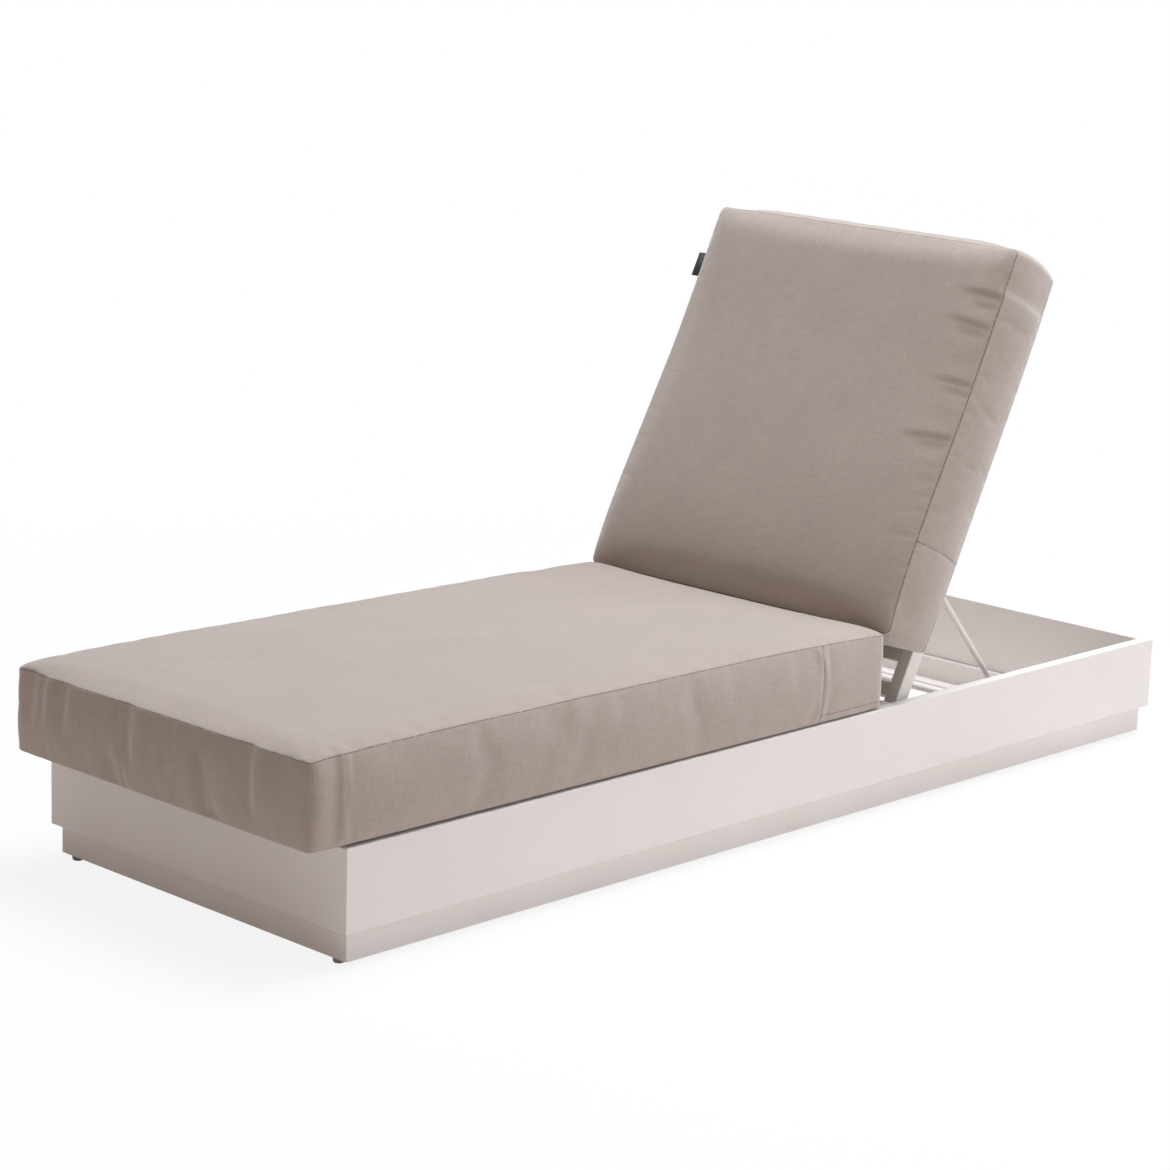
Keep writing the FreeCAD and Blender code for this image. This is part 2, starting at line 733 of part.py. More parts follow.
def cushion_section(x, half, low, high, crown, corner):
    # one closed outline across the cushion: flat underside, upright boxing, crowned top
    slant = corner * (1 - math.sqrt(0.5))
    right_points = [(half - corner, low), (half - slant, low + slant), (half, low + corner)]
    upper_points = [(half, high - corner), (half - slant, high - slant), (half - corner, high)]

    def at(point, sign=1):
        return Vector(x, sign * point[0], point[1])

    edges = [
        Part.LineSegment(at(right_points[0], -1), at(right_points[0])),
        Part.Arc(*[at(point) for point in right_points]),
        Part.LineSegment(at(right_points[2]), at(upper_points[0])),
        Part.Arc(*[at(point) for point in upper_points]),
        Part.Arc(at(upper_points[2]), Vector(x, 0, high + crown), at(upper_points[2], -1)),
        Part.Arc(*[at(point, -1) for point in reversed(upper_points)]),
        Part.LineSegment(at(upper_points[0], -1), at(right_points[2], -1)),
        Part.Arc(*[at(point, -1) for point in reversed(right_points)]),
    ]
    return Part.Wire([edge.toShape() for edge in edges])


def bowed(x, length):
    # share of the full draw and crown at a place along the cushion
    return math.sin(math.pi * x / length)


def cushion_shape(length, edge_height, start_round, end_round):
    # start_round and end_round are the top edge's rounding at the two ends
    turns = (0, 30, 60, 90)
    plain = size("cushion_end_round")
    stations = []
    for turn in turns:
        rise = 1 - math.sin(math.radians(turn))
        reach = 1 - math.cos(math.radians(turn))
        stations.append((start_round * reach, start_round * rise, plain * rise))
        stations.append((length - end_round * reach, end_round * rise, plain * rise))
    for share in (0.25, 0.5, 0.75):
        stations.append((length * share, 0.0, 0.0))
    outlines = []
    for x, top_drop, inset in sorted(stations):
        bow = bowed(x, length)
        half = half_width - size("cushion_draw") * bow - inset
        crown = size("cushion_crown") * (0.3 + 0.7 * bow)
        outlines.append(
            cushion_section(x, half, inset / 2, edge_height - top_drop, crown, size("cushion_corner")))
    return Part.makeLoft(outlines, True, True)


def cushion(label, shape, placement):
    feature = doc.addObject("Part::Feature", label)
    feature.Label = label
    feature.Shape = shape
    feature.Placement = placement
    pieces[label] = feature


cushion_lift = size("grip_strip_thickness + soft_clearance")
plain_round = size("cushion_end_round")
meeting_round = size("cushion_meeting_round")
seat_cushion_start = foot_face - size("foot_overhang")
seat_cushion_length = hinge_x - size("seat_cushion_gap") - seat_cushion_start
seat_shape = cushion_shape(seat_cushion_length, size("seat_cushion_edge"), plain_round, meeting_round)
cushion("seat_cushion", seat_shape, placed(seat_cushion_start, 0, panel_top + cushion_lift))
back_shape = cushion_shape(
    size("back_cushion_length"), size("back_cushion_edge"), meeting_round, plain_round)
cushion("back_cushion", back_shape, on_back(size("back_cushion_start"), 0, front_plane + cushion_lift))

# a blank fabric tab sewn into the far seam of the back cushion
tab = doc.addObject("Part::Box", "cushion_tab")
tie(tab, "Length", "tab_length")
tie(tab, "Width", "tab_width")
tie(tab, "Height", "tab_thickness")
tab_top = size("back_cushion_length - tab_below_top")
tab_along = size("back_cushion_start - tab_length") + tab_top
tab_level = front_plane + cushion_lift + size("back_cushion_edge - cushion_corner - tab_thickness")
tab_seam = half_width - size("cushion_draw") * bowed(tab_top, size("back_cushion_length"))
tab.Placement = on_back(tab_along, tab_seam + size("soft_clearance"), tab_level)
pieces["cushion_tab"] = tab


# every feature is checked before any file is written

doc.recompute()
for item in doc.Objects:
    if "Invalid" in item.State or "Error" in item.State:
        raise ValueError(f"{item.Label} failed: {item.State}")
for label, item in pieces.items():
    if item.Shape.isNull() or not item.Shape.isValid() or not item.Shape.Solids:
        raise ValueError(f"{label} has no valid solid")

os.makedirs("parts", exist_ok=True)
for label, item in pieces.items():
    item.Shape.exportStep(os.path.join("parts", label + ".step"))
print(f"{len(pieces)} pieces written")
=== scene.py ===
import json
import math

import bmesh
import bpy
import numpy as np
from mathutils import Matrix, Vector


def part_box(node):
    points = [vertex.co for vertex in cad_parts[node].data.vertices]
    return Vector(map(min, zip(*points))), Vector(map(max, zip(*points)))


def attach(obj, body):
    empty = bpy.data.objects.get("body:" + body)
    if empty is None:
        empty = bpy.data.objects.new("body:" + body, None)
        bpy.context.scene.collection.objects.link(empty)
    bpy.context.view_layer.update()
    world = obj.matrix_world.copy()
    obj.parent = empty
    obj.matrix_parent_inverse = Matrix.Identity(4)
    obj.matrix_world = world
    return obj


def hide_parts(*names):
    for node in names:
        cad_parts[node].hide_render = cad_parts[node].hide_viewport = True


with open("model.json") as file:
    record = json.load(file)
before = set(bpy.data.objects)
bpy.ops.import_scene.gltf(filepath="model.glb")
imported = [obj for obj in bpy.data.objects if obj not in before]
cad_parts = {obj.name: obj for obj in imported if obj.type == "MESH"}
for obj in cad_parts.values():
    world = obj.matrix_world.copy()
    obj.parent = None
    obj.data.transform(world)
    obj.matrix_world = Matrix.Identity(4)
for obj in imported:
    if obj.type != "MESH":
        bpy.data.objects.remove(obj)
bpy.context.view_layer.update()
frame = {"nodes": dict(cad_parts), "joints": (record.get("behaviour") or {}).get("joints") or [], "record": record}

scene = bpy.context.scene
cadNodes = frame["nodes"]
mm = 0.001
touching = 1e-6  # metres: near enough to lie on a seam
print("frame loaded:", len(cadNodes), "nodes")


def linear(hexText):
    shares = [int(hexText[k:k + 2], 16) / 255 for k in (1, 3, 5)]
    return [s / 12.92 if s <= 0.04045 else ((s + 0.055) / 1.055) ** 2.4 for s in shares] + [1.0]


def addNode(tree, kind, settings=None, sockets=None):
    node = tree.nodes.new("ShaderNode" + kind)
    for name, value in (settings or {}).items():
        setattr(node, name, value)
    for name, value in (sockets or {}).items():
        if isinstance(value, bpy.types.NodeSocket):
            tree.links.new(value, node.inputs[name])
        else:
            node.inputs[name].default_value = value
    return node


def startMaterial(name):
    material = bpy.data.materials.new(name)
    material.use_nodes = True
    return material, material.node_tree, material.node_tree.nodes["Principled BSDF"]


# powder coat on aluminium, sprayed and baked: an even satin skin with a faint orange peel,
# and a tone that turns darker and warmer towards the floor
coatFinish = {
    "colour": "#E4E0DB", "cloud": "#DED8D3", "lowTone": "#BFB5AB",
    "peelMm": 2.2, "peelDepthMm": 0.05, "cloudMm": 180, "lowToneHeightMm": 70,
    "smooth": 0.38, "dull": 0.52,
}


def powderCoat(finish):
    material, tree, shader = startMaterial("powderCoatedAluminium")
    place = addNode(tree, "TexCoord").outputs["Object"]
    cloud = addNode(tree, "TexNoise", sockets={
        "Vector": place, "Scale": 1 / (finish["cloudMm"] * mm),
        "Detail": 4.0, "Roughness": 0.6}).outputs["Fac"]
    peel = addNode(tree, "TexNoise", sockets={
        "Vector": place, "Scale": 1 / (finish["peelMm"] * mm), "Detail": 2.0}).outputs["Fac"]
    tone = addNode(tree, "Mix", {"data_type": "RGBA"}, {
        0: cloud, 6: linear(finish["colour"]), 7: linear(finish["cloud"])}).outputs[2]
    # darker and warmer towards the floor over the lowest 70 mm, patchy with the cloud noise
    height = addNode(tree, "SeparateXYZ", sockets={"Vector": place}).outputs["Z"]
    low = addNode(tree, "MapRange", {"interpolation_type": "SMOOTHSTEP"}, {
        "Value": height, "From Min": 0.0, "From Max": finish["lowToneHeightMm"] * mm,
        "To Min": 0.3, "To Max": 0.0}).outputs["Result"]
    lowShare = addNode(tree, "Math", {"operation": "MULTIPLY"}, {0: low, 1: cloud}).outputs[0]
    colour = addNode(tree, "Mix", {"data_type": "RGBA"}, {
        0: lowShare, 6: tone, 7: linear(finish["lowTone"])}).outputs[2]
    rough = addNode(tree, "MapRange", sockets={
        "Value": cloud, "From Min": 0.3, "From Max": 0.7,
        "To Min": finish["smooth"], "To Max": finish["dull"]}).outputs["Result"]
    bump = addNode(tree, "Bump", sockets={
        "Height": peel, "Strength": 0.35, "Distance": finish["peelDepthMm"] * mm}).outputs["Normal"]
    tree.links.new(colour, shader.inputs["Base Color"])
    tree.links.new(rough, shader.inputs["Roughness"])
    tree.links.new(bump, shader.inputs["Normal"])
    return material


# small hardware and moulded parts: the grain says how each was made
smallFinishes = {
    "stainless": {"name": "turnedStainlessSteel", "colours": ("#B9B8B5", "#A5A4A1"), "metallic": 1.0,
                  "smooth": 0.24, "dull": 0.4, "grainMm": (0.4, 0.4, 6.0), "depthMm": 0.02},
    "glide_plastic": {"name": "mouldedPolyethylene", "colours": ("#8C8A88", "#7A7876"), "metallic": 0.0,
                      "smooth": 0.5, "dull": 0.7, "grainMm": (0.8, 0.8, 0.8), "depthMm": 0.06},
    "cap_plastic": {"name": "mouldedPolypropylene", "colours": ("#D8D3CD", "#CFC9C3"), "metallic": 0.0,
                    "smooth": 0.42, "dull": 0.58, "grainMm": (0.7, 0.7, 0.7), "depthMm": 0.05},
    "bush_plastic": {"name": "turnedNylon", "colours": ("#DAD6CC", "#CBC6BA"), "metallic": 0.0,
                     "smooth": 0.35, "dull": 0.5, "grainMm": (3.0, 0.5, 3.0), "depthMm": 0.03},
    "touch_tape": {"name": "hookAndLoopTape", "colours": ("#8A7D71", "#665B52"), "metallic": 0.0,
                   "smooth": 0.85, "dull": 0.98, "grainMm": (1.2, 1.2, 1.2), "depthMm": 0.5},
}


def grainedMaterial(finish):
    material, tree, shader = startMaterial(finish["name"])
    place = addNode(tree, "TexCoord").outputs["Object"]
    stretch = [1 / (size * mm) for size in finish["grainMm"]]
    scaled = addNode(tree, "Mapping", sockets={"Vector": place, "Scale": stretch}).outputs["Vector"]
    grain = addNode(tree, "TexNoise", sockets={
        "Vector": scaled, "Scale": 1.0, "Detail": 3.0}).outputs["Fac"]
    first, second = [linear(text) for text in finish["colours"]]
    colour = addNode(tree, "Mix", {"data_type": "RGBA"}, {0: grain, 6: first, 7: second}).outputs[2]
    rough = addNode(tree, "MapRange", sockets={
        "Value": grain, "From Min": 0.3, "From Max": 0.7,
        "To Min": finish["smooth"], "To Max": finish["dull"]}).outputs["Result"]
    bump = addNode(tree, "Bump", sockets={
        "Height": grain, "Strength": 0.5, "Distance": finish["depthMm"] * mm}).outputs["Normal"]
    shader.inputs["Metallic"].default_value = finish["metallic"]
    tree.links.new(colour, shader.inputs["Base Color"])
    tree.links.new(rough, shader.inputs["Roughness"])
    tree.links.new(bump, shader.inputs["Normal"])
    return material


# solution-dyed canvas in plain weave: dry, matt and a little mottled by thick and thin threads
# real threads are about 0.5 mm apart, so the weave is drawn at 1.3 mm to show at all
canvasFinish = {
    # seam is the dark colour of the painted shade along the seams, stitch the paler stitching on it
    "colour": "#A6978B", "dark": "#908278", "pale": "#B4A79C", "seam": "#63574E", "stitch": "#BDB2A8",
    "threadMm": 1.3, "slubMm": (2.0, 34.0), "cloudMm": 140, "threadDepthMm": 0.25,
    "seamWidthMm": 1.5, "stitchMm": 3.4,
}


def canvas(finish):
    material, tree, shader = startMaterial("wovenOutdoorCanvas")
    cloth = addNode(tree, "UVMap", {"uv_map": "cloth"}).outputs["UV"]  # metres along the cloth
    thin, long = [1 / (size * mm) for size in finish["slubMm"]]
    slubs = []
    for stretch in ((thin, long, 1.0), (long, thin, 1.0)):
        run = addNode(tree, "Mapping", sockets={"Vector": cloth, "Scale": stretch}).outputs["Vector"]
        slubs.append(addNode(tree, "TexNoise", sockets={
            "Vector": run, "Scale": 1.0, "Detail": 2.0, "Roughness": 0.6}).outputs["Fac"])
    slub = addNode(tree, "Math", {"operation": "ADD"}, {0: slubs[0], 1: slubs[1]}).outputs[0]
    waveScale = math.pi / 10 / (finish["threadMm"] * mm)  # a wave band repeats every pi / 10 at scale 1
    threads = [addNode(tree, "TexWave", {"bands_direction": way}, {
        "Vector": cloth, "Scale": waveScale,
        "Distortion": 0.6, "Detail": 1.0}).outputs["Fac"] for way in "XY"]
    weave = addNode(tree, "Math", {"operation": "MULTIPLY"}, {0: threads[0], 1: threads[1]}).outputs[0]
    cloud = addNode(tree, "TexNoise", sockets={
        "Vector": cloth, "Scale": 1 / (finish["cloudMm"] * mm), "Detail": 3.0}).outputs["Fac"]
    mottle = addNode(tree, "MapRange", sockets={
        "Value": slub, "From Min": 0.75, "From Max": 1.25, "To Min": 0.0, "To Max": 1.0}).outputs["Result"]
    tone = addNode(tree, "Mix", {"data_type": "RGBA"}, {
        0: mottle, 6: linear(finish["dark"]), 7: linear(finish["pale"])}).outputs[2]
    body = addNode(tree, "Mix", {"data_type": "RGBA"}, {
        0: 0.35, 6: linear(finish["colour"]), 7: tone}).outputs[2]
    shade = addNode(tree, "MapRange", sockets={
        "Value": cloud, "From Min": 0.3, "From Max": 0.7, "To Min": 0.96, "To Max": 1.03}).outputs["Result"]
    knit = addNode(tree, "MapRange", sockets={
        "Value": weave, "From Min": 0.0, "From Max": 0.6, "To Min": 0.95, "To Max": 1.02}).outputs["Result"]
    level = addNode(tree, "Math", {"operation": "MULTIPLY"}, {0: shade, 1: knit}).outputs[0]
    plain = addNode(tree, "VectorMath", {"operation": "SCALE"}, {0: body, "Scale": level}).outputs[0]
    # painted shade: a dark line along every seam and the zip's row of stitches stands in for the shade in the
    # seam's groove, with paler specks of stitching on it
    toSeam = addNode(tree, "Attribute", {"attribute_name": "seamDistance"}).outputs["Fac"]
    seamShade = addNode(tree, "MapRange", {"interpolation_type": "SMOOTHSTEP"}, {
        "Value": toSeam, "From Min": 0.3 * finish["seamWidthMm"] * mm,
        "From Max": finish["seamWidthMm"] * mm, "To Min": 0.85, "To Max": 0.0}).outputs["Result"]
    place = addNode(tree, "TexCoord").outputs["Object"]
    specks = addNode(tree, "TexNoise", sockets={
        "Vector": place, "Scale": 1 / (finish["stitchMm"] * mm), "Detail": 0.0}).outputs["Fac"]
    thread = addNode(tree, "MapRange", {"interpolation_type": "SMOOTHSTEP"}, {
        "Value": specks, "From Min": 0.58, "From Max": 0.68,
        "To Min": 0.0, "To Max": 0.4}).outputs["Result"]
    sewn = addNode(tree, "Mix", {"data_type": "RGBA"}, {
        0: thread, 6: linear(finish["seam"]), 7: linear(finish["stitch"])}).outputs[2]
    colour = addNode(tree, "Mix", {"data_type": "RGBA"}, {0: seamShade, 6: plain, 7: sewn}).outputs[2]
    relief = addNode(tree, "Math", {"operation": "MULTIPLY_ADD"}, {0: slub, 1: 0.6, 2: weave}).outputs[0]
    bump = addNode(tree, "Bump", sockets={
        "Height": relief, "Strength": 0.4, "Distance": finish["threadDepthMm"] * mm}).outputs["Normal"]
    shader.inputs["Roughness"].default_value = 0.9
    shader.inputs["Specular IOR Level"].default_value = 0.2
    shader.inputs["Sheen Weight"].default_value = 0.8
    shader.inputs["Sheen Roughness"].default_value = 0.5
    tree.links.new(colour, shader.inputs["Base Color"])
    tree.links.new(bump, shader.inputs["Normal"])
    return material


# black polyester ribbon: fine ribs across it, a dull shine
ribbonFinish = {"colour": "#1B1A1A", "rib": "#2B2A29", "ribMm": 1.0, "depthMm": 0.15}


def ribbon(finish):
    material, tree, shader = startMaterial("wovenRibbon")
    cloth = addNode(tree, "UVMap", {"uv_map": "cloth"}).outputs["UV"]
    ribs = addNode(tree, "TexWave", {"bands_direction": "Y"}, {
        "Vector": cloth, "Scale": math.pi / 10 / (finish["ribMm"] * mm), "Distortion": 0.4}).outputs["Fac"]
    colour = addNode(tree, "Mix", {"data_type": "RGBA"}, {
        0: ribs, 6: linear(finish["colour"]), 7: linear(finish["rib"])}).outputs[2]
    bump = addNode(tree, "Bump", sockets={
        "Height": ribs, "Strength": 0.5, "Distance": finish["depthMm"] * mm}).outputs["Normal"]
    shader.inputs["Roughness"].default_value = 0.6
    tree.links.new(colour, shader.inputs["Base Color"])
    tree.links.new(bump, shader.inputs["Normal"])
    return material


coatMaterial = powderCoat(coatFinish)
slotMaterials = {slot: grainedMaterial(finish) for slot, finish in smallFinishes.items()}
slotMaterials["powder_coat"] = coatMaterial
canvasMaterial = canvas(canvasFinish)
ribbonMaterial = ribbon(ribbonFinish)
for part in frame["record"]["subparts"]:
    if part["material_slot"] in slotMaterials:
        data = cadNodes[part["node"]].data
        data.materials.clear()
        data.materials.append(slotMaterials[part["material_slot"]])
print("materials on the frame")


# boxed cushions: a top and a bottom panel sewn to a boxing strip
edgeSteps = [0.0, 0.003, 0.007, 0.013, 0.021, 0.032, 0.046]  # rows in from each edge, closest at the seam
besideSteps = [0.004, 0.009, 0.016, 0.025]  # rows on both sides of a seam or fold across the strip
rowRoom = 0.004  # least room between such a row and the rows of the edge


def gridSteps(length, spacing, closeRows=()):
    inner = length - 2 * edgeSteps[-1]
    count = max(1, round(inner / spacing))
    middle = [edgeSteps[-1] + inner * k / count for k in range(1, count)]
    edge = edgeSteps[-1] + rowRoom
    for row in closeRows:
        beside = [row + sign * step for sign in (-1, 1) for step in besideSteps]
        beside = [step for step in beside if edge < step < length - edge]
        middle = [step for step in middle if abs(step - row) > besideSteps[-1] + 2 * rowRoom]
        middle += [row] + beside
    return sorted(edgeSteps + middle + [length - step for step in edgeSteps])


def boxGrid(steps):
    shape = bmesh.new()
    bmesh.ops.create_cube(shape, size=1.0)
    for axis in range(3):
        runs = [e for e in shape.edges if abs(e.verts[0].co[axis] - e.verts[1].co[axis]) > 0.5]
        bmesh.ops.subdivide_edges(shape, edges=runs, cuts=len(steps[axis]) - 2, use_grid_fill=True)
    for vert in shape.verts:
        for axis in range(3):
            vert.co[axis] = steps[axis][round((vert.co[axis] + 0.5) * (len(steps[axis]) - 1))]
    bmesh.ops.recalc_face_normals(shape, faces=shape.faces)
    return shape


def easeIn(values, low, high):
    share = np.clip((values - low) / (high - low), 0, 1)
    return share * share * (3 - 2 * share)


def cushionBlank(name, cushion):
    length, width, height = cushion["length"], cushion["width"], cushion["height"]
    steps = [gridSteps(length, cushion["spacing"][0], cushion["closeRows"]),
             gridSteps(width, cushion["spacing"][1]), gridSteps(height, cushion["spacing"][2])]
    shape = boxGrid(steps)
    cloth = shape.loops.layers.uv.new("cloth")
    # seamDistance: how far each point lies from a seam, where the canvas paints shade along the seams and the
    # zip's row of stitches
    toSeam = shape.verts.layers.float.new("seamDistance")
    shape.normal_update()
    for face in shape.faces:
        facing = max(range(3), key=lambda axis: abs(face.normal[axis]))
        first, second = [(1, 2), (0, 2), (0, 1)][facing]
        for loop in face.loops:
            loop[cloth].uv = (loop.vert.co[first], loop.vert.co[second])
    shape.verts.index_update()
    seamVerts = []
    for vert in shape.verts:
        u, v, w = vert.co
        inward = min(u, length - u, v, width - v)
        upward = min(w, height - w)
        vert[toSeam] = max(inward, upward)
        if inward < touching:
            vert[toSeam] = upward
            if min(v, width - v) < touching:
                past = (u - cushion["join"]) * cushion["zipSide"]
                vert[toSeam] = min(upward, abs(past))
                if past > -touching:  # the zipped strip has one more row of stitches
                    vert[toSeam] = min(vert[toSeam], abs(w - cushion["zipRow"]))
        if inward < touching and upward < touching:
            seamVerts.append(vert.index)
    mesh = bpy.data.meshes.new(name)
    shape.to_mesh(mesh)
    shape.free()
    piece = bpy.data.objects.new(name, mesh)
    scene.collection.objects.link(piece)
    return piece, seamVerts


def readPlaces(mesh):
    flat = np.zeros(len(mesh.vertices) * 3, np.float32)
    mesh.vertices.foreach_get("co", flat)
    return flat.reshape(-1, 3).astype(float)


def writePlaces(mesh, places):
    mesh.vertices.foreach_set("co", places.astype(np.float32).ravel())
    mesh.update()


def roundCorners(places, cushion):
    # the upright corners are rounded, and the boxing stands out between its two seams,
    # but less over the 120 mm beside a corner
    half = np.array([cushion["length"] / 2, cushion["width"] / 2])
    lift = np.clip(places[:, 2] / cushion["height"], 0, 1)
    plan = places[:, :2] - half
    past = np.maximum(np.abs(plan) - (half - cushion["corner"]), 0)
    outward = past / np.maximum(np.hypot(past[:, 0], past[:, 1]), 1e-9)[:, None]
    inner = np.clip(np.abs(plan), 0, half - cushion["corner"])
    free = easeIn((half - np.abs(plan)).max(axis=1), 0, 0.12)
    endBulge = np.where(plan[:, 0] < 0, cushion["bulge"][0], cushion["bulge"][1])
    bulge = outward[:, 0] * endBulge + outward[:, 1] * cushion["bulge"][2]
    bulge *= (0.35 + 0.65 * free) * np.sin(np.pi * lift) ** 0.7
    places[:, :2] = half + np.sign(plan) * (inner + outward * (past.max(axis=1) + bulge)[:, None])
    return places


def smoothRun(stops, along):
    # one smooth curve close to values that stand at even steps along the cushion
    curve = np.polyfit(np.linspace(0, 1, len(stops)), stops, min(4, len(stops) - 1))
    return np.polyval(curve, along)


def shapeSeams(places, cushion):
    # heights of the two seams along the cushion, and its width where the far side is drawn in
    along = places[:, 0] / cushion["length"]
    share = places[:, 2] / cushion["height"]
    top = smoothRun(cushion["topSeam"], along)
    bottom = smoothRun(cushion["bottomSeam"], along)
    places[:, 2] = bottom + share * (top - bottom)
    across = places[:, 1] / cushion["width"]
    farEnd = cushion["ends"][1] + cushion["slant"] * across
    places[:, 0] = cushion["ends"][0] + along * (farEnd - cushion["ends"][0])
    far = smoothRun(cushion["farSide"], along)
    places[:, 1] = cushion["nearSide"] + across * (far - cushion["nearSide"])
    return places


def rollEdges(places, cushion):
    # the foam rises in a quarter round from the top seam, and least at the corners
    rise = np.where(places[:, 2] > cushion["height"] - touching, cushion["crown"], 0.0)
    for axis, span in ((0, cushion["length"]), (1, cushion["width"])):
        for inward in (places[:, axis], span - places[:, axis]):
            rise *= np.sqrt(1 - (1 - np.clip(inward / cushion["rollWidth"], 0, 1)) ** 2)
    return rise


swellSteps = 20
clothSettings = {
    "quality": 6, "mass": 0.25, "tension_stiffness": 12, "compression_stiffness": 12,
    "bending_stiffness": 0.4, "air_damping": 6, "use_pressure": True, "vertex_group_mass": "seams",
}


def puff(piece, seamVerts, cushion):
    # air pressure swells the panels between the sewn seams, and the foam lets them go only so far
    start = readPlaces(piece.data)
    seams = piece.vertex_groups.new(name="seams")
    seams.add(seamVerts, 1.0, "REPLACE")
    swell = piece.modifiers.new("swell", "CLOTH")
    for name, value in clothSettings.items():
        setattr(swell.settings, name, value)
    swell.settings.uniform_pressure_force = cushion["pressure"]
    swell.settings.shrink_min = -cushion["slack"]
    swell.settings.effector_weights.gravity = 0
    swell.collision_settings.use_collision = False
    swell.point_cache.frame_start = 1
    swell.point_cache.frame_end = swellSteps
    for step in range(1, swellSteps + 1):
        scene.frame_set(step)
    swollen = piece.evaluated_get(bpy.context.evaluated_depsgraph_get())
    moved = readPlaces(swollen.data) - start
    piece.modifiers.remove(swell)
    scene.frame_set(1)
    normals = np.zeros(len(start) * 3, np.float32)
    piece.data.vertices.foreach_get("normal", normals)
    level = np.abs(normals.reshape(-1, 3)[:, 2])
    most = cushion["sideSwell"] + (cushion["topSwell"] - cushion["sideSwell"]) * level
    reach = np.linalg.norm(moved, axis=1)
    held = most * np.tanh(reach / most)
    panels, boxing = [reach[pick].max() / mm for pick in (level > 0.9, level < 0.1)]
    print(f"{piece.name} swells {panels:.1f} mm, its boxing {boxing:.1f} mm, before the foam holds it")
    writePlaces(piece.data, start + moved * (held / np.maximum(reach, 1e-9))[:, None])
    piece.vertex_groups.remove(seams)


def divideOnce(piece):
    finer = piece.modifiers.new("finer", "SUBSURF")
    finer.levels = finer.render_levels = 1
    bpy.context.view_layer.update()
    graph = bpy.context.evaluated_depsgraph_get()
    mesh = bpy.data.meshes.new_from_object(
        piece.evaluated_get(graph), preserve_all_data_layers=True, depsgraph=graph)
    piece.modifiers.clear()
    old = piece.data
    piece.data = mesh
    bpy.data.meshes.remove(old)
    mesh.shade_smooth()


# face: the axis it looks along, its sign, and the two axes of the points that give its folds
faceAxes = {
    "foot": (0, -1, (1, 2)), "near": (1, -1, (0, 2)), "far": (1, 1, (0, 2)), "top": (2, 1, (0, 1)),
}


def addFolds(places, cushion):
    # each fold is a ridge with a valley beside it, strongest at its first point and fading to its second
    # the side between the two is steep, and a width below 0 turns it the other way
    moved = places.copy()
    for face, start, end, width, depth in cushion["folds"]:
        axis, sign, (first, second) = faceAxes[face]
        edge = places[:, axis].max() if sign > 0 else places[:, axis].min()
        onFace = 1 - easeIn(np.abs(places[:, axis] - edge), 0.012, 0.035)
        a, b = np.array(start) * mm, np.array(end) * mm
        run = np.linalg.norm(b - a)
        way = (b - a) / run
        offset = places[:, (first, second)] - a
        along = offset @ way / run
        beside = (offset @ np.array([-way[1], way[0]])) / (width * mm)
        fade = easeIn(along, -0.12, 0.02) * (1 - easeIn(along, 0.45, 1.0))
        ridge = np.exp(-(beside / np.where(beside < 0, 2.4, 1.0)) ** 2)
        valley = np.exp(-((beside - 1.6) / np.where(beside > 1.6, 2.4, 1.0)) ** 2)
        sewn = 1.0  # on a side the lower seam holds the cloth
        if second == 2:
            sewn = 0.15 + 0.85 * easeIn(places[:, 2], 0.0, 0.018)
        moved[:, axis] += sign * depth * mm * (0.45 * ridge - valley) * fade * onFace * sewn
    return moved


def unevenness(places, cushion):
    # foam and cloth are never quite even: slow waves of a millimetre or two
    u, v, w = places.T / mm
    slow = np.sin(u / 61 + 0.8) * np.sin(v / 83 + 1.9) + 0.6 * np.sin(u / 37 + w / 45 + 2.2)
    quick = np.sin(u / 23 + v / 31 + 0.5) * np.sin(v / 27 - w / 19 + 1.1)
    return (cushion["waves"][0] * slow + cushion["waves"][1] * quick) * mm


def finishCushion(piece, cushion, toFrame):
    places = readPlaces(piece.data)
    normals = np.zeros(len(places) * 3, np.float32)
    piece.data.vertices.foreach_get("normal", normals)
    upper = easeIn(places[:, 2], 0.012, 0.03)  # the underside stays flat on the slats
    places += normals.reshape(-1, 3) * (unevenness(places, cushion) * upper)[:, None]
    places = addFolds(places, cushion)
    places[:, 2] = np.maximum(places[:, 2], 0.0)
    writePlaces(piece.data, places)
    piece.data.transform(toFrame)
    piece.data.materials.append(canvasMaterial)
    print(piece.name, "done:", len(places), "points")


def makeCushion(name, cushion, toFrame):
    piece, seamVerts = cushionBlank(name, cushion)
    places = readPlaces(piece.data)
    rise = rollEdges(places, cushion)
    places = shapeSeams(roundCorners(places, cushion), cushion)
    places[:, 2] += rise
    writePlaces(piece.data, places)
    puff(piece, seamVerts, cushion)
    divideOnce(piece)
    finishCushion(piece, cushion, toFrame)
    return piece


